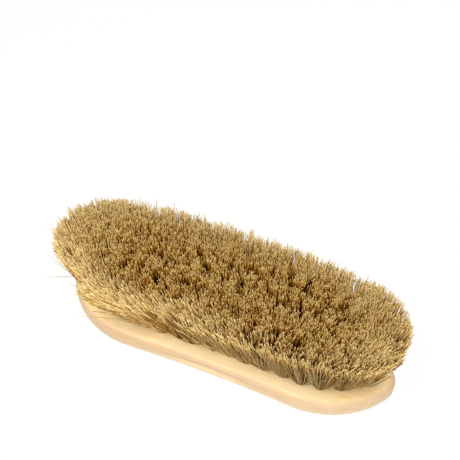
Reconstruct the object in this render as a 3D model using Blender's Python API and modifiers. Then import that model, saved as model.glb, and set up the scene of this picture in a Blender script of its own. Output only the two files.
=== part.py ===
"""Dandy brush: a waisted wooden stock, drilled and filled with tufts of stiff fibre.

Metres, +Z up. The brush lies on its back with its bristles up. The origin is the
centre of the stock's flat back, and +X runs along the brush. The near side, which
carries one of the two finger grooves, faces -Y.
"""
import math
import random

import bmesh
import bpy
from mathutils import Matrix, Vector

# Stock, seen from above: a hollow waist, a round shoulder and a small nose
STOCK_LENGTH = 0.205
STOCK_WIDTH = 0.063
WAIST_WIDTH = 0.0602
WIDEST_AT = 0.054
NOSE_RADIUS = 0.0123
WAIST_SEGMENTS = 3
SHOULDER_SEGMENTS = 8
NOSE_SEGMENTS = 2

# Stock, seen from the end
STOCK_THICKNESS = 0.0142
BACK_ROUNDING = 0.0061
FACE_ROUNDING = 0.0042
ROUNDING_SEGMENTS = 3

# Finger groove along each side
GROOVE_LENGTH = 0.074
GROOVE_DEPTH = 0.002
GROOVE_RADIUS = 0.005
GROOVE_HEIGHT = 0.0076
GROOVE_STEPS = 16
GROOVE_OVERRUN = 1.2

# Holes: the outer ones follow the outline, and the rows run straight across
HOLE_DIAMETER = 0.006
HOLE_DEPTH = 0.0102
HOLE_PITCH = 0.0106
ROW_SPACING = 0.0088
RIM_MARGIN = 0.01265
ROUND_SIDES = 8

# Anchors: flat wire that holds each doubled tuft down and bites into the wood
WIRE_THICKNESS = 0.00045
WIRE_DEPTH = 0.0024
WIRE_BITE = 0.001
FOLD_THICKNESS = 0.0012

# Slice of backing, let into the face, that ties the tufts of one row together
BACKING_WIDTH = 0.0064
BACKING_THICKNESS = 0.0014

# Fibre
FIBRE_LENGTH = 0.0432
FIELD_LENGTH = 0.208
FIELD_WIDTH = 0.0705
ROOT_SPREAD = 0.0013
TIP_SPREAD_ALONG = 0.0036
TIP_SPREAD_ACROSS = 0.0045
TRIM_UNEVENNESS = 0.0012
ROOT_RADIUS = 0.0008
TIP_RADIUS = 0.0006
STRAND_SIDES = 3
TRIM_SEED = 7

# Space between neighbouring solids
CLEARANCE = 0.0003
WELD = 1e-6

FACE_Z = STOCK_THICKNESS
TIP_Z = STOCK_THICKNESS + FIBRE_LENGTH
HOLE_FLOOR_Z = STOCK_THICKNESS - HOLE_DEPTH
TUFT_FOOT_Z = HOLE_FLOOR_Z + CLEARANCE
WIRE_FOOT_Z = TUFT_FOOT_Z + FOLD_THICKNESS + CLEARANCE
TUFT_RADIUS = HOLE_DIAMETER / 2 - CLEARANCE
BACKING_FOOT_Z = FACE_Z - BACKING_THICKNESS


def empty_scene():
    for old in list(bpy.data.objects):
        bpy.data.objects.remove(old, do_unlink=True)


def new_collection(name):
    collection = bpy.data.collections.new(name)
    bpy.context.scene.collection.children.link(collection)
    return collection


def principled(name, colour, roughness, metallic=0.0):
    material = bpy.data.materials.new(name)
    material.use_nodes = True
    shader = material.node_tree.nodes["Principled BSDF"]
    shader.inputs["Base Color"].default_value = (*colour, 1.0)
    shader.inputs["Roughness"].default_value = roughness
    shader.inputs["Metallic"].default_value = metallic
    return material


def object_from(bm, name, collection, material=None):
    """Turn a bmesh into a named object in a collection."""
    mesh = bpy.data.meshes.new(name)
    bm.to_mesh(mesh)
    bm.free()
    made = bpy.data.objects.new(name, mesh)
    collection.objects.link(made)
    if material:
        mesh.materials.append(material)
    return made


def mesh_from_curve(curve_object, name, collection, material=None):
    """Turn a curve object into a mesh object with its caps welded on."""
    collection.objects.link(curve_object)
    bpy.context.view_layer.update()
    evaluated = curve_object.evaluated_get(bpy.context.evaluated_depsgraph_get())
    mesh = bpy.data.meshes.new_from_object(evaluated)
    mesh.name = name
    bm = bmesh.new()
    bm.from_mesh(mesh)
    bmesh.ops.remove_doubles(bm, verts=bm.verts, dist=WELD)
    bmesh.ops.recalc_face_normals(bm, faces=bm.faces)
    bm.to_mesh(mesh)
    bm.free()
    mesh.materials.clear()
    if material:
        mesh.materials.append(material)
    made = bpy.data.objects.new(name, mesh)
    made.matrix_world = curve_object.matrix_world
    collection.objects.link(made)
    bpy.data.objects.remove(curve_object, do_unlink=True)
    return made


def add_bar(bm, low, high):
    """Add a box between two corners."""
    low = Vector(low)
    high = Vector(high)
    cube = bmesh.ops.create_cube(bm, size=1.0)
    bmesh.ops.scale(bm, verts=cube["verts"], vec=high - low)
    bmesh.ops.translate(bm, verts=cube["verts"], vec=(low + high) / 2)


def add_post(bm, x, y, radius, foot, top):
    """Add an upright round post, with the middle of one of its flats facing along Y."""
    post = bmesh.ops.create_cone(
        bm, cap_ends=True, segments=ROUND_SIDES, radius1=radius, radius2=radius, depth=top - foot)
    half_side = Matrix.Rotation(math.pi / ROUND_SIDES, 3, "Z")
    bmesh.ops.rotate(bm, verts=post["verts"], cent=(0, 0, 0), matrix=half_side)
    bmesh.ops.translate(bm, verts=post["verts"], vec=(x, y, (foot + top) / 2))


def hide_helper(helper):
    helper.hide_render = True
    helper.display_type = "WIRE"


def combine(target, operation, helper):
    """Cut a helper from a part, or join it on, as a modifier."""
    hide_helper(helper)
    modifier = target.modifiers.new(helper.name, "BOOLEAN")
    modifier.operation = operation
    modifier.object = helper
    modifier.solver = "EXACT"


def outline_arcs(inset):
    """Sizes of the arcs of a quarter of the outline, drawn this far inside the edge."""
    reach = STOCK_LENGTH / 2 - WIDEST_AT
    hollow = (STOCK_WIDTH - WAIST_WIDTH) / 2
    slack = STOCK_WIDTH - 2 * NOSE_RADIUS
    shoulder = ((reach - NOSE_RADIUS) ** 2 + STOCK_WIDTH ** 2 / 4 - NOSE_RADIUS ** 2) / slack
    waist = (WIDEST_AT ** 2 + hollow ** 2) / (2 * hollow) - shoulder
    drop = shoulder - STOCK_WIDTH / 2
    lean = math.asin(WIDEST_AT / (waist + shoulder))
    if inset < NOSE_RADIUS:
        nose_turn = math.asin(drop / (shoulder - NOSE_RADIUS))
    else:
        nose_turn = math.asin(drop / (shoulder - inset))
    return {
        "waist": waist + inset,
        "shoulder": shoulder - inset,
        "nose": max(NOSE_RADIUS - inset, 0.0),
        "drop": drop,
        "lean": lean,
        "nose_turn": nose_turn,
        "waist_run": (waist + inset) * lean,
        "shoulder_run": (shoulder - inset) * (math.pi / 2 + lean - nose_turn),
        "nose_run": max(NOSE_RADIUS - inset, 0.0) * nose_turn,
    }


def outline_point(run, inset):
    """Point of the inset outline, a run along it from the middle of the long side."""
    arcs = outline_arcs(inset)
    if run <= arcs["waist_run"]:
        turn = run / arcs["waist"]
        x = arcs["waist"] * math.sin(turn)
        y = WAIST_WIDTH / 2 - inset + arcs["waist"] * (1 - math.cos(turn))
        return x, y
    run -= arcs["waist_run"]
    if run <= arcs["shoulder_run"] or arcs["nose"] == 0.0:
        turn = math.pi / 2 + arcs["lean"] - run / arcs["shoulder"]
        x = WIDEST_AT + arcs["shoulder"] * math.cos(turn)
        y = arcs["shoulder"] * math.sin(turn) - arcs["drop"]
        return x, y
    turn = arcs["nose_turn"] - (run - arcs["shoulder_run"]) / arcs["nose"]
    x = STOCK_LENGTH / 2 - NOSE_RADIUS + arcs["nose"] * math.cos(turn)
    y = arcs["nose"] * math.sin(turn)
    return x, y


def quarter_outline():
    """Points of the edge from the middle of the long side to the tip of the nose."""
    arcs = outline_arcs(0.0)
    start = 0.0
    points = []
    runs = (
        (arcs["waist_run"], WAIST_SEGMENTS),
        (arcs["shoulder_run"], SHOULDER_SEGMENTS),
        (arcs["nose_run"], NOSE_SEGMENTS),
    )
    for length, segments in runs:
        points += [outline_point(start + length * i / segments, 0.0) for i in range(segments)]
        start += length
    points.append((STOCK_LENGTH / 2, 0.0))
    return points


def whole_outline():
    quarter = quarter_outline()
    upper = [(-x, y) for x, y in reversed(quarter)] + quarter[1:]
    lower = [(x, -y) for x, y in reversed(upper)]
    return upper + lower[1:-1]


def rim_points():
    """Places of the outer holes, from the middle of the long side to the end one."""
    arcs = outline_arcs(RIM_MARGIN)
    length = arcs["waist_run"] + arcs["shoulder_run"] + arcs["nose_run"]
    gaps = max(2, round(length / HOLE_PITCH))
    points = [outline_point(length * i / gaps, RIM_MARGIN) for i in range(gaps)]
    points.append((outline_point(length, RIM_MARGIN)[0], 0.0))
    return points


def hole_rows():
    """Rows of holes across the stock: each a place along X and the tufts' places.

    The last row at each end also holds the end tuft, and its own middle tuft, if it
    has one, lies halfway between that and the row before.
    """
    rim = rim_points()
    end_x = rim[-1][0]
    last = len(rim) - 2
    middle_x = (rim[last - 1][0] + end_x) / 2
    rows = []
    for index in range(-last, last + 1):
        side = -1 if index < 0 else 1
        x, reach = rim[abs(index)]
        gaps = max(1, round(2 * reach / ROW_SPACING))
        tufts = [(side * x, -reach + 2 * reach * i / gaps) for i in range(gaps + 1)]
        link = None
        if abs(index) == last:
            if gaps % 2 == 0:
                tufts[gaps // 2] = (side * middle_x, 0.0)
            link = side * end_x
            tufts.append((link, 0.0))
        rows.append({"x": side * x, "reach": reach, "tufts": tufts, "link": link})
    return rows


def row_bars(row, width, foot, top, overrun):
    """Bars along a row: one across the stock, and at each end one out to the last hole."""
    x = row["x"]
    reach = row["reach"] + overrun
    bars = [((x - width / 2, -reach, foot), (x + width / 2, reach, top))]
    if row["link"] is not None:
        outer = row["link"] + math.copysign(overrun, x)
        bars.append(((min(x, outer), -width / 2, foot), (max(x, outer), width / 2, top)))
    return bars


def make_stock(collection, cutters, rows, wood):
    curve = bpy.data.curves.new("stock_outline", "CURVE")
    curve.dimensions = "2D"
    curve.fill_mode = "BOTH"
    curve.extrude = STOCK_THICKNESS / 2
    spline = curve.splines.new("POLY")
    outline = whole_outline()
    spline.points.add(len(outline) - 1)
    for point, (x, y) in zip(spline.points, outline):
        point.co = (x, y, 0.0, 1.0)
    spline.use_cyclic_u = True
    slab = bpy.data.objects.new("stock_outline", curve)
    slab.location.z = STOCK_THICKNESS / 2
    stock = mesh_from_curve(slab, "stock", collection, wood)
    round_edges(stock)
    for side in (-1, 1):
        combine(stock, "DIFFERENCE", groove_cutter(side, cutters))
    for helper in row_cutters(rows, cutters):
        combine(stock, "DIFFERENCE", helper)
    return stock


def round_edges(stock):
    """Round the slab's back and face edges, each by its own radius."""
    bm = bmesh.new()
    bm.from_mesh(stock.data)
    flat = [edge for edge in bm.edges if all(abs(face.normal.z) > 0.5 for face in edge.link_faces)]
    bmesh.ops.dissolve_edges(bm, edges=flat, use_verts=False)
    largest = max(BACK_ROUNDING, FACE_ROUNDING)
    weights = bm.edges.layers.float.new("bevel_weight_edge")
    for edge in bm.edges:
        heights = [vert.co.z for vert in edge.verts]
        if max(heights) < 0:
            edge[weights] = BACK_ROUNDING / largest
        elif min(heights) > 0:
            edge[weights] = FACE_ROUNDING / largest
    bm.to_mesh(stock.data)
    bm.free()
    bevel = stock.modifiers.new("rounded_edges", "BEVEL")
    bevel.limit_method = "WEIGHT"
    bevel.width = largest
    bevel.segments = ROUNDING_SEGMENTS


def groove_cutter(side, cutters):
    """Round bar, bent away from the stock, that leaves a finger groove fading at its ends."""
    half = GROOVE_LENGTH / 2
    bottom = WAIST_WIDTH / 2 - GROOVE_DEPTH
    rise = half_width(half) - bottom
    radius = (half ** 2 + rise ** 2) / (2 * rise)
    sweep = math.asin(half / radius) * GROOVE_OVERRUN
    curve = bpy.data.curves.new("groove", "CURVE")
    curve.dimensions = "3D"
    curve.bevel_depth = GROOVE_RADIUS
    curve.bevel_resolution = 3
    curve.use_fill_caps = True
    spline = curve.splines.new("POLY")
    spline.points.add(GROOVE_STEPS)
    for i, point in enumerate(spline.points):
        turn = sweep * (2 * i / GROOVE_STEPS - 1)
        y = bottom + GROOVE_RADIUS + radius * (1 - math.cos(turn))
        point.co = (radius * math.sin(turn), side * y, GROOVE_HEIGHT, 1.0)
    name = "near_groove" if side < 0 else "far_groove"
    return mesh_from_curve(bpy.data.objects.new(name + "_path", curve), name, cutters)


def half_width(x):
    """Half the stock's width this far from its middle, within the waist arc."""
    waist = outline_arcs(0.0)["waist"]
    return WAIST_WIDTH / 2 + waist - math.sqrt(waist ** 2 - x ** 2)


def row_cutters(rows, cutters):
    """Cutters for the holes, the backing's slots and the wires' channels."""
    holes = bmesh.new()
    for row in rows:
        for x, y in row["tufts"]:
            add_post(holes, x, y, HOLE_DIAMETER / 2, HOLE_FLOOR_Z, FACE_Z + HOLE_DEPTH)
    helpers = [object_from(holes, "holes", cutters)]
    slots = [row_bars(row, BACKING_WIDTH + 2 * CLEARANCE, BACKING_FOOT_Z - CLEARANCE,
                      FACE_Z + HOLE_DEPTH, BACKING_WIDTH / 2 + CLEARANCE)
             for row in rows]
    channels = [wire_channel(row) for row in rows]
    for name, bars in (("slots", slots), ("channels", channels)):
        helpers += bar_layers(name, bars, cutters)
    return helpers


def bar_layers(name, rows_of_bars, cutters):
    """One helper of the rows' first bars and one of their second bars, which cross them."""
    helpers = []
    for layer in range(max(len(bars) for bars in rows_of_bars)):
        bm = bmesh.new()
        for bars in rows_of_bars:
            if layer < len(bars):
                add_bar(bm, *bars[layer])
        helpers.append(object_from(bm, f"{name}_{layer + 1}", cutters))
    return helpers


def wire_bars(row, grow):
    """Bars of a row's anchor wire, grown on all sides."""
    overrun = HOLE_DIAMETER / 2 + WIRE_BITE + grow
    foot = WIRE_FOOT_Z - grow
    top = WIRE_FOOT_Z + WIRE_DEPTH + grow
    return row_bars(row, WIRE_THICKNESS + 2 * grow, foot, top, overrun)


def wire_channel(row):
    return wire_bars(row, CLEARANCE)


def joined_bars(name, bars, collection, cutters, material):
    """One solid of the first bar, with any further bars joined on."""
    bm = bmesh.new()
    add_bar(bm, *bars[0])
    solid = object_from(bm, name, collection, material)
    for low, high in bars[1:]:
        bm = bmesh.new()
        add_bar(bm, low, high)
        combine(solid, "UNION", object_from(bm, name + "_link", cutters))
    return solid


def make_anchors(name, row, collection, cutters, steel):
    return joined_bars(name, wire_bars(row, 0.0), collection, cutters, steel)


def add_strand(bm, root, tip):
    """Add one straight strand, three-sided and a little thinner at its tip."""
    rod = bmesh.ops.create_cone(
        bm, cap_ends=True, segments=STRAND_SIDES, radius1=ROOT_RADIUS, radius2=TIP_RADIUS,
        depth=tip.z - root.z)
    middle = (root.z + tip.z) / 2
    for vert in rod["verts"]:
        end = tip if vert.co.z > 0 else root
        vert.co += Vector((end.x, end.y, middle))


def add_tuft(bm, place, fan, chance):
    """Add one tuft: its doubled root in the hole and its strands, which fan out."""
    x, y = place
    root_top = BACKING_FOOT_Z + BACKING_THICKNESS / 3
    strand_foot = FACE_Z - BACKING_THICKNESS / 3
    add_post(bm, x, y, TUFT_RADIUS, TUFT_FOOT_Z, root_top)
    for along, across in ((0, 0), (-1, -1), (1, -1), (-1, 1), (1, 1)):
        root = Vector((x + along * ROOT_SPREAD, y + across * ROOT_SPREAD, strand_foot))
        tip = Vector((x * fan[0] + along * TIP_SPREAD_ALONG,
                      y * fan[1] + across * TIP_SPREAD_ACROSS,
                      TIP_Z - chance.uniform(0.0, TRIM_UNEVENNESS)))
        add_strand(bm, root, tip)


def make_tuft_row(name, row, fan, chance, collection, cutters, fibre):
    """A slice of backing with the row's tufts fused to it, bored through for the wire."""
    bars = row_bars(row, BACKING_WIDTH, BACKING_FOOT_Z, FACE_Z, BACKING_WIDTH / 2)
    solid = joined_bars(name, bars, collection, cutters, fibre)
    tufts = bmesh.new()
    for place in row["tufts"]:
        add_tuft(tufts, place, fan, chance)
    combine(solid, "UNION", object_from(tufts, name + "_tufts", cutters))
    for helper in bar_layers(name + "_window", [wire_channel(row)], cutters):
        combine(solid, "DIFFERENCE", helper)
    return solid


def field_fan(rows):
    """How far the tufts' tips spread from the middle, along and across, per unit at the root."""
    end = max(x for row in rows for x, y in row["tufts"])
    rim = max(row["reach"] for row in rows)
    return ((FIELD_LENGTH / 2 - TIP_SPREAD_ALONG - TIP_RADIUS) / end,
            (FIELD_WIDTH / 2 - TIP_SPREAD_ACROSS - TIP_RADIUS) / rim)


def main():
    empty_scene()
    parts = new_collection("dandy_brush")
    cutters = new_collection("cutters")
    wood = principled("lacquered_wood", (0.86, 0.68, 0.38), 0.42)
    fibre = principled("natural_fibre", (0.42, 0.29, 0.13), 0.62)
    steel = principled("anchor_wire", (0.62, 0.62, 0.6), 0.35, 1.0)
    rows = hole_rows()
    fan = field_fan(rows)
    chance = random.Random(TRIM_SEED)
    made = [make_stock(parts, cutters, rows, wood)]
    for number, row in enumerate(rows, 1):
        made.append(make_anchors(f"anchor_row_{number:02d}", row, parts, cutters, steel))
        made.append(make_tuft_row(f"tuft_row_{number:02d}", row, fan, chance, parts, cutters, fibre))
    brush = bpy.data.objects.new("dandy_brush", None)
    parts.objects.link(brush)
    for part in made:
        part.parent = brush


main()
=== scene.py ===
"""Looks of a dandy brush: a lacquered wooden stock filled with tufts of stiff natural fibre.

Metres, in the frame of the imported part: the brush lies on its back on Z = 0, +X runs
along it, and the photographed side faces -Y.
"""
import math

import bmesh
import bpy
import numpy as np
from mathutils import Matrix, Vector


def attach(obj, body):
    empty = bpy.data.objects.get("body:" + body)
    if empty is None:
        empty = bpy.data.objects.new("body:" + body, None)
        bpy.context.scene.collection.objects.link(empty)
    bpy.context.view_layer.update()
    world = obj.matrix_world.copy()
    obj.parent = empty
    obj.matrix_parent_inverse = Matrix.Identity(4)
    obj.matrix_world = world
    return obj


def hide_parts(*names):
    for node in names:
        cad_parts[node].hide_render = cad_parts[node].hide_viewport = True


MM = 0.001

# Camera, fitted to the stock's outline in the photograph
PHOTO_PIXELS = 460
FOCAL_PIXELS = 670.66
SENSOR_MM = 36.0
CAMERA_AZIMUTH = math.radians(22.71)
CAMERA_ELEVATION = math.radians(48.01)
CAMERA_DISTANCE = 0.46855
CAMERA_TARGET = Vector((-0.0317, 0.0814, 0.0))
CAMERA_NEAR_CLIP = 0.01

# Floor and world: the floor's size and grey, how bright the camera sees it and how much of its
# shading that hides, then the strength and colour of the soft light from all round
FLOOR_SIZE = 3.0
FLOOR_GREY = 0.6
FLOOR_BRIGHTNESS = 1.04
FLOOR_SHADELESS = 0.9
GLOW = 0.42
GLOW_COLOUR = (1.0, 0.99, 0.97, 1.0)

# Stock, as in the part's source
STOCK_LENGTH = 0.205
STOCK_WIDTH = 0.063
WAIST_WIDTH = 0.0602
WIDEST_AT = 0.054
NOSE_RADIUS = 0.0123
STOCK_THICKNESS = 0.0142
BACK_ROUNDING = 0.0061
FACE_ROUNDING = 0.0042
GROOVE_LENGTH = 0.074
GROOVE_DEPTH = 0.002
GROOVE_RADIUS = 0.005
GROOVE_HEIGHT = 0.0076

# Holes, anchors and fibre, as in the part's source
HOLE_DIAMETER = 0.006
HOLE_DEPTH = 0.0102
HOLE_PITCH = 0.0106
ROW_SPACING = 0.0088
RIM_MARGIN = 0.01265
WIRE_THICKNESS = 0.00045
WIRE_DEPTH = 0.0024
WIRE_BITE = 0.001
FOLD_THICKNESS = 0.0012
CLEARANCE = 0.0003
FIBRE_LENGTH = 0.0432

FACE_Z = STOCK_THICKNESS
TIP_Z = STOCK_THICKNESS + FIBRE_LENGTH

# Fineness of the stock's mesh, how far inside the edge the flat back and face start, what counts
# as a sharp edge, and how the groove runs out towards its ends and its edges, as powers of a cosine
WAIST_SEGMENTS = 14
SHOULDER_SEGMENTS = 26
NOSE_SEGMENTS = 7
ROUNDING_STEPS = 8
WALL_STEPS = 14
HOLE_SIDES = 24
BACK_RING_INSET = 1.6 * BACK_ROUNDING
FACE_RING_INSET = 2.0 * FACE_ROUNDING
EDGE_ANGLE = math.radians(35)
GROOVE_END_POWER = 1.5
GROOVE_EDGE_POWER = 2

# Fibres: how many a tuft has, and the factors on that at the rim and at the two ends of the field
FIBRES_PER_TUFT = 220
RIM_EXTRA = 1.5
END_EXTRA = 3.4
SEED = 11

# One fibre: its radius, how that differs between fibres and narrows to the tip, the segments of its
# path and the sides of its tube, and how far it bows to one side
FIBRE_RADIUS = 0.00022
FIBRE_VARIETY = (0.72, 1.28)
FIBRE_TAPER = (1.08, 0.92)
FIBRE_STEPS = 4
FIBRE_SIDES = 3
FIBRE_BOW = 0.5 * MM

# How far its root lies from the middle of the hole and below the face, its slack over the height of
# the field, and one part in how many of its length it rises at least, however far it leans
ROOT_RADIUS = 0.0026
ROOT_DEPTH = 0.002
FIBRE_SLACK = 0.0025
LEAST_RISE = 3

# Where the tips lie: the ends and sides of the field, how square its corners are, and its skew
TIP_LEFT = -0.1055
TIP_RIGHT = 0.1008
TIP_NEAR = -0.0315
TIP_FAR = 0.0352
TIP_SQUARENESS = 3.0
TIP_SKEW = 0.03

# How far a tuft's tips spread: inside the field, at its rim, at its two ends, and at the near side's
# right half, where the tufts stand as open fans
TUFT_SPLAY = 0.0098
RIM_SPLAY = 0.0130
END_SPLAY = 0.0165
FAN_SPLAY = 0.0170

# How far inside the field's outline the middles of the rim tufts lie, the share by which tips may
# pass the outline, and the share of the way out to it from which a fibre counts as an outer one
RIM_INSET = 0.0092
EDGE_SPILL = 0.2
RIM_STARTS = 0.62

# Some fibres spread further than the rest: how many, and how much further
WILD_SHARE = 0.08
WILD_SPREAD = (0.2, 0.7)

# How the fibres of a tuft hold together: loose clumps, tighter to the right of the brush, then
# bundles of a few fibres that share their height and the curl of their tips, all calmer at the rim
CLUMPS = 6
PARTED_PLACES = (-0.05, 0.02)
CLUMPING = (0.34, 0.46)
BUNDLE_FIBRES = 3
BUNDLING = 0.45
BUNDLE_LIFT = 0.0014
BUNDLE_CURL = 0.0008
RIM_CALM = 0.45

# How a fibre goes from its root to its tip: a bend below 1 leans first, and one above 1 rises first.
# Then the tips: how uneven in place, how high over the solids' tips and how uneven in that, and how
# far and how late they curl
TUFT_BEND = (0.78, 1.08)
TIP_JITTER = 0.0003
TIP_LIFT = -0.3 * MM
TIP_UNEVENNESS = 0.5 * MM
TIP_CURL = 0.0006
CURL_POWER = 4

# Fibres that stand up out of the rest: the odds of it, what the luck of a tuft and the far side of
# the rim add to them, and by how many millimetres such fibres stand out
TALL_ODDS = 0.02
TALL_LUCK = 0.12
TALL_LUCK_POWER = 3
TALL_FAR = 0.06
TALL_BY = (0.5, 4.0)

# How the near side's outer fibres lie down over the edge: places along the brush, how far the
# tips go along it and out from the holes there, and the share of the fibres that lie down
LAID_PLACES = (
    -0.083, -0.074, -0.064, -0.053, -0.032, -0.021, 0.0, 0.021, 0.043, 0.064, 0.074, 0.090)
LAID_ALONG = (
    -0.003, -0.006, -0.009, -0.013, -0.022, -0.022, -0.016, -0.009, 0.0, 0.012, 0.018, 0.006)
LAID_OUT = (
    -0.009, -0.015, -0.019, -0.021, -0.020, -0.017, -0.012, -0.010, -0.009, -0.008, -0.006, -0.002)
LAID_SHARES = (0.25, 0.5, 0.75, 0.8, 0.8, 0.7, 0.5, 0.3, 0.2, 0.3, 0.5, 0.4)

# Of the fibres that lie down: their share of the full length, how far they go the way at least and at
# most, how many go far (more for a power below 1), the scatter of their tips, the share of the curl
# that they keep, how many are added to a tuft, and how much more they rise before they lean
LAID_LENGTH = (0.75, 1.0)
LAID_FALL = (0.05, 1.0)
LAID_FLATNESS = 0.6
LAID_SCATTER = 0.0016
LAID_CALM = 0.25
LAID_EXTRA = 0.5
LAID_BEND = 1.28

# The fibres behind them lean a share of the way: the share at the near side, how it differs between
# fibres, how fast it fades away from that side, and where past that side it stops growing
COMB_SHARE = 0.35
COMB_LUCK = (0.3, 1.15)
COMB_POWER = 1.7
COMB_LIMIT = 1.1

# How pale the near side's outer fibres are along the brush, from 0 to 1, by lifting the painted shade
# of the mass from them
PALE_PLACES = (-0.02, 0.05, 0.07, 0.08)
PALENESS = (1.0, 0.42, 0.42, 0.9)

# How free of the mass a fibre stands, from 0 to 1, which lifts the painted shade of the mass from it:
# inside the field, at its rim, what the near side adds, what the far side and the left end add and
# how late the left end starts, then the share that a laid fibre has before it leans, and that an
# outer foot has where the side isn't pale
FREE_INSIDE = 0.12
FREE_RIM = 0.35
FREE_NEAR = 0.65
FREE_FAR = 0.3
FREE_LEFT_POWER = 8
FREE_LAID = 0.5
FREE_FOOT = 0.25

# How pale each fibre is, from 0 to 1: the middle, the part that goes with the height of its bundle,
# which is painted shade that darkens the lower bundles, and the part by chance
TINT_MIDDLE = 0.52
TINT_SHADE_BY_HEIGHT = 0.22
TINT_SPREAD = 0.36

# Fibres that have sprung out: how thick they are beside the others, how pale, and how many
# millimetres up they bow at most. Of each, the hole of the rim, counted from the middle, its side,
# and the tip in millimetres
LOOSE_THICKNESS = 0.85
LOOSE_TINT = 0.8
LOOSE_BOW = 2.0
LOOSE_FIBRES = (
    (-9, 1, (-118.0, -0.2, 51.5)),
    (-9, 1, (-115.6, 1.0, 51.8)),
    (-9, 1, (-112.2, 6.0, 55.5)),
    (-8, -1, (-102.7, -19.7, 51.6)),
    (-8, -1, (-98.5, -22.8, 52.5)),
    (-9, 1, (-100.9, -30.5, 43.9)),
    (-7, -1, (-81.7, -33.0, 53.1)),
    (-5, -1, (-69.6, -46.2, 44.4)),
    (-3, -1, (-61.3, -40.2, 38.4)),
    (9, 1, (103.5, -6.6, 55.5)),
    (9, 1, (102.5, -0.6, 56.3)),
    (7, 1, (96.3, 22.3, 51.2)),
    (6, -1, (100.4, -6.1, 35.9)),
    (4, -1, (68.3, -27.0, 40.2)),
    (7, -1, (86.8, -24.9, 54.8)),
)


def outline_arcs(inset):
    """Sizes of the arcs of a quarter of the outline, drawn this far inside the edge."""
    reach = STOCK_LENGTH / 2 - WIDEST_AT
    hollow = (STOCK_WIDTH - WAIST_WIDTH) / 2
    slack = STOCK_WIDTH - 2 * NOSE_RADIUS
    shoulder = ((reach - NOSE_RADIUS) ** 2 + STOCK_WIDTH ** 2 / 4 - NOSE_RADIUS ** 2) / slack
    waist = (WIDEST_AT ** 2 + hollow ** 2) / (2 * hollow) - shoulder
    drop = shoulder - STOCK_WIDTH / 2
    lean = math.asin(WIDEST_AT / (waist + shoulder))
    nose_turn = math.asin(drop / (shoulder - max(NOSE_RADIUS, inset)))
    nose = max(NOSE_RADIUS - inset, 0.0)
    return {
        "waist": waist + inset,
        "shoulder": shoulder - inset,
        "nose": nose,
        "drop": drop,
        "lean": lean,
        "nose_turn": nose_turn,
        "waist_run": (waist + inset) * lean,
        "shoulder_run": (shoulder - inset) * (math.pi / 2 + lean - nose_turn),
        "nose_run": nose * nose_turn,
    }


def outline_point(run, inset):
    """Point of the inset outline, a run along it from the middle of the long side."""
    arcs = outline_arcs(inset)
    if run <= arcs["waist_run"]:
        turn = run / arcs["waist"]
        x = arcs["waist"] * math.sin(turn)
        y = WAIST_WIDTH / 2 - inset + arcs["waist"] * (1 - math.cos(turn))
        return x, y
    run -= arcs["waist_run"]
    if run <= arcs["shoulder_run"] or arcs["nose"] == 0.0:
        turn = math.pi / 2 + arcs["lean"] - run / arcs["shoulder"]
        x = WIDEST_AT + arcs["shoulder"] * math.cos(turn)
        y = arcs["shoulder"] * math.sin(turn) - arcs["drop"]
        return x, y
    turn = arcs["nose_turn"] - (run - arcs["shoulder_run"]) / arcs["nose"]
    x = STOCK_LENGTH / 2 - NOSE_RADIUS + arcs["nose"] * math.cos(turn)
    y = arcs["nose"] * math.sin(turn)
    return x, y


def outline_ring(inset):
    """Points all round the inset outline, the same number for every inset."""
    arcs = outline_arcs(inset)
    quarter = []
    start = 0.0
    runs = (
        (arcs["waist_run"], WAIST_SEGMENTS),
        (arcs["shoulder_run"], SHOULDER_SEGMENTS),
        (arcs["nose_run"], NOSE_SEGMENTS),
    )
    for length, segments in runs:
        quarter += [outline_point(start + length * i / segments, inset) for i in range(segments)]
        start += length
    quarter.append((STOCK_LENGTH / 2 - inset, 0.0))
    upper = [(-x, y) for x, y in reversed(quarter)] + quarter[1:]
    lower = [(x, -y) for x, y in reversed(upper)]
    return upper + lower[1:-1]


def rim_points():
    """Places of the outer holes, from the middle of the long side to the end one."""
    arcs = outline_arcs(RIM_MARGIN)
    length = arcs["waist_run"] + arcs["shoulder_run"] + arcs["nose_run"]
    gaps = max(2, round(length / HOLE_PITCH))
    points = [outline_point(length * i / gaps, RIM_MARGIN) for i in range(gaps)]
    points.append((outline_point(length, RIM_MARGIN)[0], 0.0))
    return points


def hole_rows():
    """Rows of holes across the stock: each a place along X and the tufts' places."""
    rim = rim_points()
    end_x = rim[-1][0]
    last = len(rim) - 2
    middle_x = (rim[last - 1][0] + end_x) / 2
    rows = []
    for index in range(-last, last + 1):
        side = -1 if index < 0 else 1
        x, reach = rim[abs(index)]
        gaps = max(1, round(2 * reach / ROW_SPACING))
        tufts = [(side * x, -reach + 2 * reach * i / gaps) for i in range(gaps + 1)]
        link = None
        if abs(index) == last:
            if gaps % 2 == 0:
                tufts[gaps // 2] = (side * middle_x, 0.0)
            link = side * end_x
            tufts.append((link, 0.0))
        rows.append({"x": side * x, "reach": reach, "tufts": tufts, "link": link})
    return rows


def link_to_scene(thing):
    bpy.context.scene.collection.objects.link(thing)
    return thing


# Camera, floor and light

def make_camera():
    back = Vector((
        math.sin(CAMERA_AZIMUTH) * math.cos(CAMERA_ELEVATION),
        -math.cos(CAMERA_AZIMUTH) * math.cos(CAMERA_ELEVATION),
        math.sin(CAMERA_ELEVATION),
    ))
    data = bpy.data.cameras.new("camera")
    data.sensor_width = SENSOR_MM
    data.lens = FOCAL_PIXELS / PHOTO_PIXELS * SENSOR_MM
    data.clip_start = CAMERA_NEAR_CLIP
    camera = link_to_scene(bpy.data.objects.new("camera", data))
    camera.location = CAMERA_TARGET + back * CAMERA_DISTANCE
    camera.rotation_euler = (-back).to_track_quat("-Z", "Y").to_euler()
    bpy.context.scene.camera = camera


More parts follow.
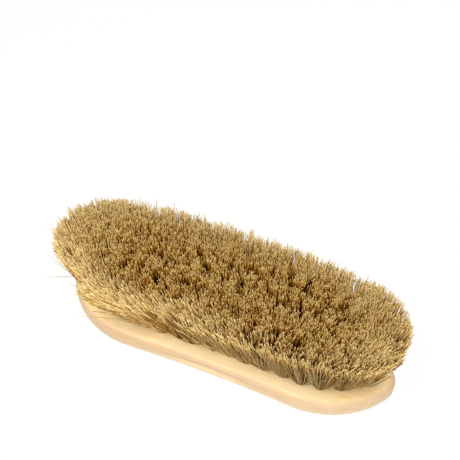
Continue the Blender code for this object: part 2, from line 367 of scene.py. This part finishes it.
def area_light(name, place, aim, size, power, colour):
    data = bpy.data.lights.new(name, "AREA")
    data.shape = "DISK"
    data.size = size
    data.energy = power
    data.color = colour
    lamp = link_to_scene(bpy.data.objects.new(name, data))
    lamp.location = place
    lamp.rotation_euler = (Vector(aim) - Vector(place)).to_track_quat("-Z", "Y").to_euler()


def background_rays(nodes, links):
    """Socket that is 1 for the rays that show the background: seen, mirrored or refracted."""
    path = nodes.new("ShaderNodeLightPath")
    found = path.outputs["Is Camera Ray"]
    for kind in ("Is Glossy Ray", "Is Transmission Ray"):
        either = nodes.new("ShaderNodeMath")
        either.operation = "MAXIMUM"
        links.new(found, either.inputs[0])
        links.new(path.outputs[kind], either.inputs[1])
        found = either.outputs[0]
    return found


def make_lamps():
    area_light(
        "key", place=(-0.10, -0.43, 0.90), aim=(0, 0, 0.03), size=0.6, power=7.2,
        colour=(1.0, 0.985, 0.95))
    area_light(
        "front", place=(0.62, -0.80, 0.50), aim=(0, 0, 0.02), size=0.7, power=4.9,
        colour=(1.0, 0.98, 0.95))
    area_light(
        "rim", place=(0.1, 0.85, 0.6), aim=(0, 0, 0.04), size=0.6, power=2.5,
        colour=(1.0, 0.97, 0.9))


def make_world():
    """White where the camera looks, and a soft light from all round for the rest."""
    world = bpy.data.worlds.new("studio")
    bpy.context.scene.world = world
    world.use_nodes = True
    nodes = world.node_tree.nodes
    links = world.node_tree.links
    nodes.clear()
    output = nodes.new("ShaderNodeOutputWorld")
    seen = nodes.new("ShaderNodeBackground")
    seen.inputs["Color"].default_value = (1, 1, 1, 1)
    seen.inputs["Strength"].default_value = 1.0
    glow = nodes.new("ShaderNodeBackground")
    glow.inputs["Color"].default_value = GLOW_COLOUR
    glow.inputs["Strength"].default_value = GLOW
    mix = nodes.new("ShaderNodeMixShader")
    links.new(background_rays(nodes, links), mix.inputs[0])
    links.new(glow.outputs[0], mix.inputs[1])
    links.new(seen.outputs[0], mix.inputs[2])
    links.new(mix.outputs[0], output.inputs[0])


def make_floor():
    """White floor that the camera sees nearly shadeless, with the brush's soft shadow kept."""
    bm = bmesh.new()
    bmesh.ops.create_grid(bm, x_segments=1, y_segments=1, size=FLOOR_SIZE)
    mesh = bpy.data.meshes.new("floor")
    bm.to_mesh(mesh)
    bm.free()
    floor = link_to_scene(bpy.data.objects.new("floor", mesh))
    material = bpy.data.materials.new("floor")
    material.use_nodes = True
    nodes = material.node_tree.nodes
    links = material.node_tree.links
    nodes.clear()
    output = nodes.new("ShaderNodeOutputMaterial")
    matt = nodes.new("ShaderNodeBsdfDiffuse")
    matt.inputs["Color"].default_value = (FLOOR_GREY, FLOOR_GREY, FLOOR_GREY, 1)
    bright = nodes.new("ShaderNodeEmission")
    bright.inputs["Strength"].default_value = FLOOR_BRIGHTNESS
    mix = nodes.new("ShaderNodeMixShader")
    share = nodes.new("ShaderNodeMath")
    share.operation = "MULTIPLY"
    share.inputs[1].default_value = FLOOR_SHADELESS
    links.new(background_rays(nodes, links), share.inputs[0])
    links.new(share.outputs[0], mix.inputs[0])
    links.new(matt.outputs[0], mix.inputs[1])
    links.new(bright.outputs[0], mix.inputs[2])
    links.new(mix.outputs[0], output.inputs[0])
    mesh.materials.append(material)


# Materials

class Nodes:
    """Short calls for building one material's node tree."""

    def __init__(self, name):
        self.material = bpy.data.materials.new(name)
        self.material.use_nodes = True
        self.tree = self.material.node_tree
        self.shader = self.tree.nodes["Principled BSDF"]

    def add(self, kind, **values):
        node = self.tree.nodes.new(kind)
        for key, value in values.items():
            setattr(node, key, value)
        return node

    def link(self, source, target):
        self.tree.links.new(source, target)

    def coords(self, scale):
        place = self.add("ShaderNodeTexCoord")
        mapping = self.add("ShaderNodeMapping")
        mapping.inputs["Scale"].default_value = scale
        self.link(place.outputs["Object"], mapping.inputs["Vector"])
        return mapping.outputs["Vector"]

    def noise(self, scale, detail, roughness=0.5, size=1.0):
        noise = self.add("ShaderNodeTexNoise")
        noise.inputs["Scale"].default_value = size
        noise.inputs["Detail"].default_value = detail
        noise.inputs["Roughness"].default_value = roughness
        self.link(self.coords(scale), noise.inputs["Vector"])
        return noise.outputs["Fac"]

    def place(self, axis):
        """Place along one axis, in the object's own metres."""
        place = self.add("ShaderNodeTexCoord")
        split = self.add("ShaderNodeSeparateXYZ")
        self.link(place.outputs["Object"], split.inputs["Vector"])
        return split.outputs[axis]

    def ramp(self, source, stops):
        ramp = self.add("ShaderNodeValToRGB")
        elements = ramp.color_ramp.elements
        while len(elements) < len(stops):
            elements.new(0.5)
        for element, (place, colour) in zip(elements, stops):
            element.position = place
            element.color = (*colour, 1.0)
        self.link(source, ramp.inputs["Fac"])
        return ramp.outputs["Color"]

    def mix(self, kind, share, first, second):
        mix = self.add("ShaderNodeMix", data_type="RGBA", blend_type=kind)
        if isinstance(share, float):
            mix.inputs[0].default_value = share
        else:
            self.link(share, mix.inputs[0])
        for socket, value in ((mix.inputs[6], first), (mix.inputs[7], second)):
            if isinstance(value, tuple):
                socket.default_value = (*value, 1.0)
            else:
                self.link(value, socket)
        return mix.outputs[2]

    def math(self, operation, first, second=0.0):
        node = self.add("ShaderNodeMath", operation=operation)
        for socket, value in zip(node.inputs, (first, second)):
            if isinstance(value, (int, float)):
                socket.default_value = value
            else:
                self.link(value, socket)
        return node.outputs[0]

    def bump(self, height, strength, distance):
        bump = self.add("ShaderNodeBump")
        bump.inputs["Strength"].default_value = strength
        bump.inputs["Distance"].default_value = distance
        self.link(height, bump.inputs["Height"])
        self.link(bump.outputs["Normal"], self.shader.inputs["Normal"])

    def set(self, **values):
        for key, value in values.items():
            self.shader.inputs[key.replace("_", " ")].default_value = value


def wood_material():
    """Pale lacquered wood: grain, pores and resin flecks, with painted shade on the sides and painted
    warm bounce light on the face under the fibres.
    """
    n = Nodes("lacquered_wood")
    broad = n.noise((9, 60, 60), 3.0)
    grain = n.noise((30, 520, 520), 5.0, 0.6)
    pores = n.noise((150, 2400, 2400), 2.0, 0.7)
    base = n.ramp(broad, [(0.3, (0.965, 0.765, 0.46)), (0.7, (0.985, 0.81, 0.52))])
    lines = n.ramp(grain, [(0.35, (0.90, 0.86, 0.80)), (0.6, (1.0, 1.0, 1.0))])
    base = n.mix("MULTIPLY", 0.7, base, lines)
    dots = n.ramp(pores, [(0.28, (0.84, 0.72, 0.58)), (0.4, (1.0, 1.0, 1.0))])
    base = n.mix("MULTIPLY", 0.5, base, dots)
    flecks = n.noise((55, 380, 380), 2.0)
    resin = n.ramp(flecks, [(0.70, (1.0, 1.0, 1.0)), (0.75, (1.0, 0.84, 0.52))])
    base = n.mix("MULTIPLY", 0.9, base, resin)
    height = n.math("DIVIDE", n.place("Z"), STOCK_THICKNESS)
    # Painted shade: the sides darker than the top face, darkest just below the face's flat top and a
    # little lighter towards the bottom edge.
    painted_side_shade = n.ramp(height, [
        (0.3, (0.92, 0.86, 0.84)),
        (0.5, (0.83, 0.77, 0.75)),
        (0.72, (0.76, 0.69, 0.68)),
        (0.92, (0.69, 0.61, 0.59)),
        (0.985, (0.89, 0.83, 0.79)),
        (1.0, (1.0, 1.0, 1.0)),
    ])
    base = n.mix("MULTIPLY", 1.0, base, painted_side_shade)
    # Painted bounce light: the flat top face warmer and more golden towards the middle, under the
    # fibres.
    across = n.math("DIVIDE", n.math("ABSOLUTE", n.place("Y")), STOCK_WIDTH / 2)
    painted_bounce_warmth = n.ramp(across, [(0.6, (1.0, 0.93, 0.79)), (0.88, (1.0, 1.0, 1.0))])
    face = n.ramp(height, [(0.96, (0.0, 0.0, 0.0)), (1.0, (1.0, 1.0, 1.0))])
    base = n.mix("MULTIPLY", face, base, painted_bounce_warmth)
    n.link(base, n.shader.inputs["Base Color"])
    n.set(Roughness=0.5, Coat_Weight=0.12, Coat_Roughness=0.35)
    n.set(Subsurface_Weight=0.35, Subsurface_Scale=0.005, Subsurface_Radius=(1.0, 0.6, 0.35))
    n.bump(grain, 0.12, 0.0002)
    return n.material


def fibre_material():
    """Tan fibre with painted shade: pale at the cut tip and where it stands free, painted darker and
    browner from the tip down into the mass.

    Its "fibre" attribute holds the share of the way to the tip in red, how pale the fibre is in
    green, with painted shade on lower bundles, and how free it stands in blue, which lifts the
    painted shade of the mass.
    """
    n = Nodes("natural_fibre")
    data = n.add("ShaderNodeAttribute", attribute_name="fibre")
    parts = n.add("ShaderNodeSeparateColor")
    n.link(data.outputs["Color"], parts.inputs["Color"])
    # Painted shade: fibres in the mass darken from the pale cut tip to near black at the root; free
    # ones only a little at the foot.
    painted_mass_shade = n.ramp(parts.outputs["Red"], [
        (0.0, (0.05, 0.014, 0.001)),
        (0.5, (0.10, 0.030, 0.002)),
        (0.74, (0.16, 0.050, 0.002)),
        (0.88, (0.26, 0.098, 0.004)),
        (0.965, (0.41, 0.206, 0.018)),
        (1.0, (0.72, 0.57, 0.255)),
    ])
    free = n.ramp(parts.outputs["Red"], [
        (0.04, (0.82, 0.54, 0.25)),
        (0.14, (0.98, 0.75, 0.37)),
        (0.8, (0.94, 0.69, 0.285)),
        (1.0, (0.95, 0.79, 0.42)),
    ])
    along = n.mix("MIX", parts.outputs["Blue"], painted_mass_shade, free)
    tint = n.ramp(parts.outputs["Green"], [
        (0.0, (0.34, 0.20, 0.06)),
        (0.25, (0.72, 0.57, 0.34)),
        (0.6, (0.97, 0.92, 0.82)),
        (1.0, (1.0, 1.0, 1.0)),
    ])
    colour = n.mix("MULTIPLY", 1.0, along, tint)
    streaks = n.ramp(n.noise((900, 900, 160), 2.0), [
        (0.3, (0.75, 0.72, 0.68)),
        (0.65, (1.0, 1.0, 1.0)),
    ])
    colour = n.mix("MULTIPLY", 0.5, colour, streaks)
    n.link(colour, n.shader.inputs["Base Color"])
    n.set(Roughness=0.5, Specular_IOR_Level=0.12, Subsurface_Weight=0.2, Subsurface_Scale=0.0005)
    n.set(Subsurface_Radius=(1.0, 1.0, 1.0))
    return n.material


def steel_material():
    n = Nodes("anchor_wire")
    drawn = n.noise((4000, 60, 4000), 3.0)
    base = n.ramp(drawn, [(0.3, (0.5, 0.5, 0.49)), (0.7, (0.66, 0.66, 0.64))])
    n.link(base, n.shader.inputs["Base Color"])
    n.set(Metallic=1.0, Roughness=0.35)
    n.bump(drawn, 0.1, 0.00005)
    return n.material


# Stock

def groove_cut(x, z):
    """How far the finger groove goes in at a place on the long side."""
    half = GROOVE_LENGTH / 2
    if abs(x) >= half:
        return 0.0
    depth = GROOVE_DEPTH * math.cos(math.pi / 2 * x / half) ** GROOVE_END_POWER
    up = abs(z - GROOVE_HEIGHT) / GROOVE_RADIUS
    if up >= 1.0:
        return 0.0
    return depth * math.cos(math.pi / 2 * up) ** GROOVE_EDGE_POWER


def stock_profile():
    """Rings of the stock from the back to the face: how far inside the edge, and how high."""
    rings = [(BACK_RING_INSET, 0.0)]
    for i in range(ROUNDING_STEPS + 1):
        turn = math.pi / 2 * i / ROUNDING_STEPS
        rings.append((BACK_ROUNDING * (1 - math.sin(turn)), BACK_ROUNDING * (1 - math.cos(turn))))
    wall = STOCK_THICKNESS - BACK_ROUNDING - FACE_ROUNDING
    for i in range(1, WALL_STEPS):
        rings.append((0.0, BACK_ROUNDING + wall * i / WALL_STEPS))
    for i in range(ROUNDING_STEPS + 1):
        turn = math.pi / 2 * i / ROUNDING_STEPS
        inset = FACE_ROUNDING * (1 - math.cos(turn))
        rings.append((inset, FACE_Z - FACE_ROUNDING * (1 - math.sin(turn))))
    rings.append((FACE_RING_INSET, FACE_Z))
    return rings


def object_from(bm, name):
    mesh = bpy.data.meshes.new(name)
    bm.to_mesh(mesh)
    bm.free()
    return link_to_scene(bpy.data.objects.new(name, mesh))


def stock_body():
    bm = bmesh.new()
    rings = []
    for inset, z in stock_profile():
        ring = []
        for x, y in outline_ring(inset):
            y -= math.copysign(groove_cut(x, z), y)
            ring.append(bm.verts.new((x, y, z)))
        rings.append(ring)
    count = len(rings[0])
    for lower, upper in zip(rings, rings[1:]):
        for i in range(count):
            after = (i + 1) % count
            bm.faces.new((lower[i], lower[after], upper[after], upper[i]))
    bm.faces.new(rings[0])
    bm.faces.new(rings[-1])
    bmesh.ops.recalc_face_normals(bm, faces=bm.faces)
    return object_from(bm, "stock_wood")


def add_post(bm, x, y, radius, foot, top):
    post = bmesh.ops.create_cone(
        bm, cap_ends=True, segments=HOLE_SIDES, radius1=radius, radius2=radius, depth=top - foot)
    bmesh.ops.translate(bm, verts=post["verts"], vec=(x, y, (foot + top) / 2))


def add_bar(bm, low, high):
    low = Vector(low)
    high = Vector(high)
    cube = bmesh.ops.create_cube(bm, size=1.0)
    bmesh.ops.scale(bm, verts=cube["verts"], vec=high - low)
    bmesh.ops.translate(bm, verts=cube["verts"], vec=(low + high) / 2)


def cut(target, cutter):
    """Cut one object from another for good, and remove the cutter."""
    modifier = target.modifiers.new("cut", "BOOLEAN")
    modifier.operation = "DIFFERENCE"
    modifier.object = cutter
    modifier.solver = "EXACT"
    bpy.context.view_layer.update()
    evaluated = target.evaluated_get(bpy.context.evaluated_depsgraph_get())
    mesh = bpy.data.meshes.new_from_object(evaluated)
    target.modifiers.clear()
    target.data = mesh
    bpy.data.objects.remove(cutter, do_unlink=True)


def wire_space(row):
    """Boxes around a row's anchor wire: one across, and at each end one along."""
    overrun = HOLE_DIAMETER / 2 + WIRE_BITE + CLEARANCE
    half = WIRE_THICKNESS / 2 + CLEARANCE
    foot = FACE_Z - HOLE_DEPTH + CLEARANCE + FOLD_THICKNESS
    top = foot + WIRE_DEPTH + 2 * CLEARANCE
    x = row["x"]
    reach = row["reach"] + overrun
    bars = [((x - half, -reach, foot), (x + half, reach, top))]
    if row["link"] is not None:
        outer = row["link"] + math.copysign(overrun, x)
        bars.append(((min(x, outer), -half, foot), (max(x, outer), half, top)))
    return bars


def make_stock(rows, wood):
    """The stock with its blind holes, and the slots of the wires cut in two goes."""
    stock = stock_body()
    holes = bmesh.new()
    for row in rows:
        for x, y in row["tufts"]:
            add_post(holes, x, y, HOLE_DIAMETER / 2, FACE_Z - HOLE_DEPTH, FACE_Z + HOLE_DEPTH)
    cut(stock, object_from(holes, "holes"))
    for layer in range(2):
        channels = bmesh.new()
        for row in rows:
            for low, high in wire_space(row)[layer:layer + 1]:
                add_bar(channels, low, high)
        cut(stock, object_from(channels, "channels"))
    stock.data.materials.clear()
    stock.data.materials.append(wood)
    stock.data.shade_smooth()
    stock.data.set_sharp_from_angle(angle=EDGE_ANGLE)
    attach(stock, "root")
    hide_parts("stock")


# Fibres

def fibre_tubes(name, paths, radii, data):
    """One mesh of thin tubes: paths is fibres by steps by 3, with a colour for each point."""
    count, steps, _ = paths.shape
    ahead = np.gradient(paths, axis=1)
    ahead /= np.linalg.norm(ahead, axis=2, keepdims=True)
    side = np.cross(ahead, np.array((0.0, 1.0, 0.0)))
    side /= np.linalg.norm(side, axis=2, keepdims=True)
    over = np.cross(ahead, side)
    turns = 2 * math.pi * np.arange(FIBRE_SIDES) / FIBRE_SIDES
    ring = side[:, :, None, :] * np.cos(turns)[None, None, :, None]
    ring = ring + over[:, :, None, :] * np.sin(turns)[None, None, :, None]
    verts = paths[:, :, None, :] + ring * radii[:, :, None, None]
    index = np.arange(count * steps * FIBRE_SIDES).reshape(count, steps, FIBRE_SIDES)
    after = np.roll(index, -1, axis=2)
    walls = np.stack((index[:, :-1], after[:, :-1], after[:, 1:], index[:, 1:]), axis=-1)
    faces = walls.reshape(-1, 4).tolist()
    faces += index[:, -1].tolist()
    faces += index[:, 0, ::-1].tolist()
    mesh = bpy.data.meshes.new(name)
    mesh.from_pydata(verts.reshape(-1, 3).tolist(), [], faces)
    colours = mesh.attributes.new("fibre", "FLOAT_COLOR", "POINT")
    spread = np.repeat(data[:, :, None, :], FIBRE_SIDES, axis=2)
    colours.data.foreach_set("color", spread.reshape(-1).astype(np.float32))
    smooth = np.ones(len(faces), dtype=bool)
    smooth[len(walls.reshape(-1, 4)):] = False
    mesh.polygons.foreach_set("use_smooth", smooth)
    return link_to_scene(bpy.data.objects.new(name, mesh))


def disc_from_square(square):
    """Move points of a square, from -1 to 1 each way, onto a disc without folding it."""
    x, y = square[:, 0], square[:, 1]
    return np.stack((x * np.sqrt(1 - y ** 2 / 2), y * np.sqrt(1 - x ** 2 / 2)), axis=1)


class Field:
    """Where the tips of the tufts go, worked out from the places of their holes."""

    def __init__(self, rows):
        self.end = max(x for row in rows for x, y in row["tufts"])
        self.rim = max(row["reach"] for row in rows)

    def reach(self, x, side):
        """How far the field of tips reaches to one side at a place along it."""
        end = -TIP_LEFT if x < 0 else TIP_RIGHT
        gone = min(abs(x) / end, 1.0) ** TIP_SQUARENESS
        widest = -TIP_NEAR if side < 0 else TIP_FAR
        return widest * (1 - gone) ** (1 / TIP_SQUARENESS)

    def centre(self, place, row):
        """Middle of a tuft's tips."""
        end = (TIP_LEFT + RIM_INSET) if place[0] < 0 else (TIP_RIGHT - RIM_INSET)
        x = abs(place[0]) / self.end * end
        y = place[1] / row["reach"] * (self.reach(x, place[1]) - RIM_INSET)
        return np.array((x, y))

    def keep_in(self, tip):
        """Draw tips that pass the field's outline back, and say how far into the rim each is."""
        ends = np.where(tip[:, 0] < 0, TIP_LEFT, TIP_RIGHT)
        sides = np.where(tip[:, 1] < 0, TIP_NEAR, TIP_FAR)
        scaled = tip / np.stack((ends, sides), axis=1)
        radius = np.sum(scaled ** TIP_SQUARENESS, axis=1) ** (1 / TIP_SQUARENESS)
        allowed = np.where(radius > 1.0, 1.0 + (radius - 1.0) * EDGE_SPILL, radius)
        share = np.clip((allowed - RIM_STARTS) / (1.0 - RIM_STARTS), 0.0, 1.0)
        return tip * (allowed / radius)[:, None], share

    def at_rim(self, row, place):
        return abs(place[1]) > row["reach"] - MM or place[0] == row["link"]

    def comb(self, place, tip, chance):
        """Comb the fibres of the near side along and out, and skew the whole field."""
        luck = chance.uniform(*COMB_LUCK, len(tip))
        near = np.clip(tip[:, 1] / TIP_NEAR, 0.0, COMB_LIMIT) ** COMB_POWER * luck
        skew = np.array((0.0, -place[0] * TIP_SKEW))
        return tip + skew + self.lean(place) * (COMB_SHARE * near)[:, None]

    def lean(self, place):
        """How far the fibres at a place of the near side lean when they lie down."""
        along = np.interp(place[0], LAID_PLACES, LAID_ALONG)
        return np.array((along, np.interp(place[0], LAID_PLACES, LAID_OUT)))

    def lie_down(self, place, root, chance):
        """Fibres that lie down over the near edge: tips, shares of their length, and how far."""
        length = chance.uniform(*LAID_LENGTH, len(root))
        fall = np.interp(chance.random(len(root)) ** LAID_FLATNESS, (0.0, 1.0), LAID_FALL) * length
        scatter = chance.uniform(-LAID_SCATTER, LAID_SCATTER, root.shape)
        return root + self.lean(place) * fall[:, None] + scatter, length, fall


def gather(points, groups, pull, chance):
    """Draw points of a disc together into groups, and say which group each one joins."""
    centres = disc_from_square(chance.uniform(-1.0, 1.0, (groups, 2)))
    gaps = np.linalg.norm(points[:, None, :] - centres[None, :, :], axis=2)
    group = np.argmin(gaps, axis=1)
    return points + (centres[group] - points) * pull, group


def spread_over_disc(count, chance):
    """Points spread evenly but not in a pattern over a disc of radius 1."""
    side = math.ceil(math.sqrt(count))
    grid = np.stack(np.meshgrid(np.arange(side), np.arange(side)), axis=-1).reshape(-1, 2)
    grid = chance.permutation(grid)[:count]
    return disc_from_square((grid + chance.uniform(0.0, 1.0, grid.shape)) / side * 2 - 1)


def tuft_size(place, at_rim, at_end):
    """How many fibres a tuft has, and how far their tips spread."""
    if at_end:
        extra, splay = END_EXTRA, END_SPLAY
    elif at_rim:
        extra, splay = RIM_EXTRA, RIM_SPLAY
    else:
        extra, splay = 1.0, TUFT_SPLAY
    if at_rim and place[1] < 0:
        extra += LAID_EXTRA * np.interp(place[0], LAID_PLACES, LAID_SHARES)
        if place[0] > 0 and not at_end:
            splay = FAN_SPLAY
    return round(FIBRES_PER_TUFT * extra), splay


def tuft_fibres(place, row, field, chance):
    """One tuft's fibres, an array each for their roots, tips, curls, bends, lengths and looks."""
    at_rim = field.at_rim(row, place)
    at_end = at_rim and row["link"] is not None
    calm = RIM_CALM if at_rim else 1.0
    count, splay = tuft_size(place, at_rim, at_end)
    disc = spread_over_disc(count, chance)
    root = np.array(place) + disc * ROOT_RADIUS
    wild = (chance.random(count) < WILD_SHARE) * chance.uniform(*WILD_SPREAD, count)
    parting = 0.0 if at_end else np.interp(place[0], PARTED_PLACES, CLUMPING) * calm
    spot, _ = gather(disc, CLUMPS, parting, chance)
    bundles = count // BUNDLE_FIBRES
    spot, bundle = gather(spot, bundles, BUNDLING * calm, chance)
    tip, share = field.keep_in(field.centre(place, row) + spot * (splay * (1 + wild))[:, None])

    near = np.clip(tip[:, 1] / TIP_NEAR, 0.0, 1.0)
    left = np.maximum(tip[:, 0] / TIP_LEFT, 0.0) ** FREE_LEFT_POWER
    far = np.clip(np.maximum(tip[:, 1] / TIP_FAR, left), 0.0, 1.0)
    # Pale and free decide how much of the painted shade of the mass a fibre is spared.
    pale = np.interp(place[0], PALE_PLACES, PALENESS)
    if at_rim:
        free = share * (FREE_RIM + FREE_NEAR * near * pale + FREE_FAR * far)
    else:
        free = FREE_INSIDE * share * pale

    tip = field.comb(place, tip, chance)
    length = np.ones(count)
    laid = np.zeros(count, dtype=bool)
    if at_rim and place[1] < 0:
        laid = chance.random(count) < np.interp(place[0], LAID_PLACES, LAID_SHARES)
        tip[laid], length[laid], fall = field.lie_down(place, root[laid], chance)
        free[laid] = pale * (FREE_LAID + (1.0 - FREE_LAID) * fall)
        outer = np.sqrt(np.clip(-disc[:, 1], 0.0, 1.0))
        free = np.maximum(free, (FREE_FOOT + (1.0 - FREE_FOOT) * pale) * outer)

    odds = TALL_ODDS + TALL_LUCK * chance.random() ** TALL_LUCK_POWER + at_rim * TALL_FAR * far
    tall = (chance.random(count) < odds) * chance.uniform(*TALL_BY, count) * MM
    lift = chance.normal(0.0, 1.0, bundles)[bundle]
    tall += BUNDLE_LIFT * lift
    # Painted shade: the lower a bundle sits, the darker its fibres.
    tint = TINT_MIDDLE + TINT_SHADE_BY_HEIGHT * lift + chance.uniform(-TINT_SPREAD, TINT_SPREAD, count)
    bend = chance.uniform(*TUFT_BEND, count) * np.where(laid, LAID_BEND, 1.0)
    curl = chance.normal(0.0, BUNDLE_CURL * calm, (bundles, 2))[bundle]
    curl += chance.normal(0.0, TIP_CURL * calm, (count, 2))
    curl[laid] *= LAID_CALM
    return {
        "root": root,
        "tip": tip,
        "curl": curl,
        "bend": bend,
        "tall": tall,
        "length": length,
        "free": free,
        "tint": np.clip(tint, 0.0, 1.0),
    }


def fibre_paths(ends, chance):
    """Points along the fibres, from inside their holes to their tips, and their shares."""
    roots = ends["root"]
    tips = ends["tip"]
    count = len(roots)
    part = np.linspace(0.0, 1.0, FIBRE_STEPS + 1)
    foot = FACE_Z - ROOT_DEPTH
    top = TIP_Z + chance.normal(TIP_LIFT, TIP_UNEVENNESS, count)
    run = np.linalg.norm(tips - roots, axis=1)
    length = (FIBRE_LENGTH + ROOT_DEPTH + FIBRE_SLACK) * ends["length"]
    rise = np.sqrt(np.maximum(length ** 2 - run ** 2, (length / LEAST_RISE) ** 2))
    top = np.minimum(top, foot + rise) + ends["tall"]
    share = part[None, :] ** ends["bend"][:, None]
    flat = roots[:, None, :] + (tips - roots)[:, None, :] * share[:, :, None]
    bow = chance.normal(0.0, FIBRE_BOW, (count, 2))
    flat += bow[:, None, :] * np.sin(math.pi * part)[None, :, None]
    flat += ends["curl"][:, None, :] * (part ** CURL_POWER)[None, :, None]
    height = foot + (top - foot)[:, None] * part[None, :]
    return np.concatenate((flat, height[:, :, None]), axis=2), part


def fibre_piece(name, ends, fibre, chance):
    """The fibres of one row as one piece."""
    paths, part = fibre_paths(ends, chance)
    count = len(paths)
    taper = np.linspace(*FIBRE_TAPER, FIBRE_STEPS + 1)
    radii = FIBRE_RADIUS * chance.uniform(*FIBRE_VARIETY, count)[:, None] * taper
    data = np.ones((count, FIBRE_STEPS + 1, 4))
    data[:, :, 0] = part[None, :]
    data[:, :, 1] = ends["tint"][:, None]
    data[:, :, 2] = ends["free"][:, None]
    piece = fibre_tubes(name, paths, radii, data)
    piece.data.materials.append(fibre)
    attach(piece, "root")
    return piece


def make_fibres(rows, fibre):
    """A piece of fibres for each row of holes, in the place of its solid."""
    field = Field(rows)
    chance = np.random.default_rng(SEED)
    for number, row in enumerate(rows, 1):
        tufts = [tuft_fibres(place, row, field, chance) for place in row["tufts"]]
        ends = {key: np.concatenate([tuft[key] for tuft in tufts]) for key in tufts[0]}
        ends["tip"] += chance.normal(0.0, TIP_JITTER, ends["tip"].shape)
        piece = fibre_piece(f"fibres_{number:02d}", ends, fibre, chance)
        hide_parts(f"tuft_row_{number:02d}")


def make_loose_fibres(fibre):
    """The single fibres that stand out from the ends and over the wood."""
    rim = rim_points()
    chance = np.random.default_rng(SEED)
    part = np.linspace(0.0, 1.0, FIBRE_STEPS + 1)
    paths = []
    for number, side, tip in LOOSE_FIBRES:
        x, y = rim[abs(number)]
        root = np.array((math.copysign(x, number), side * y, FACE_Z - ROOT_DEPTH))
        tip = np.array(tip) * MM
        bow = np.array((0.0, 0.0, chance.uniform(0.0, LOOSE_BOW) * MM))
        paths.append(root + (tip - root) * part[:, None] + bow * np.sin(math.pi * part)[:, None])
    paths = np.array(paths)
    radii = np.full(paths.shape[:2], FIBRE_RADIUS * LOOSE_THICKNESS)
    data = np.ones((len(paths), FIBRE_STEPS + 1, 4))
    data[:, :, 0] = part[None, :]
    data[:, :, 1] = LOOSE_TINT
    piece = fibre_tubes("loose_fibres", paths, radii, data)
    piece.data.materials.append(fibre)
    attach(piece, "root")


def dress_anchors(nodes, steel):
    for name, node in nodes.items():
        if name.startswith("anchor_row"):
            node.data.materials.clear()
            node.data.materials.append(steel)


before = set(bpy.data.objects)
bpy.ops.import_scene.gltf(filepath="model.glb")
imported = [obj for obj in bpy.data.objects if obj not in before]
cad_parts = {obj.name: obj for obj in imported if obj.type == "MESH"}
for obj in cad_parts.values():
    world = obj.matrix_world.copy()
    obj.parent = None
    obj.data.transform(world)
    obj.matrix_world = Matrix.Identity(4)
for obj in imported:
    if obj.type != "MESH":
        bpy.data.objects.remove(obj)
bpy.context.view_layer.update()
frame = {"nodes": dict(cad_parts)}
bpy.context.scene.view_settings.view_transform = "Standard"
make_camera()
make_lamps()
make_world()
make_floor()
hole_layout = hole_rows()
make_stock(hole_layout, wood_material())
fibre_finish = fibre_material()
make_fibres(hole_layout, fibre_finish)
make_loose_fibres(fibre_finish)
dress_anchors(frame["nodes"], steel_material())
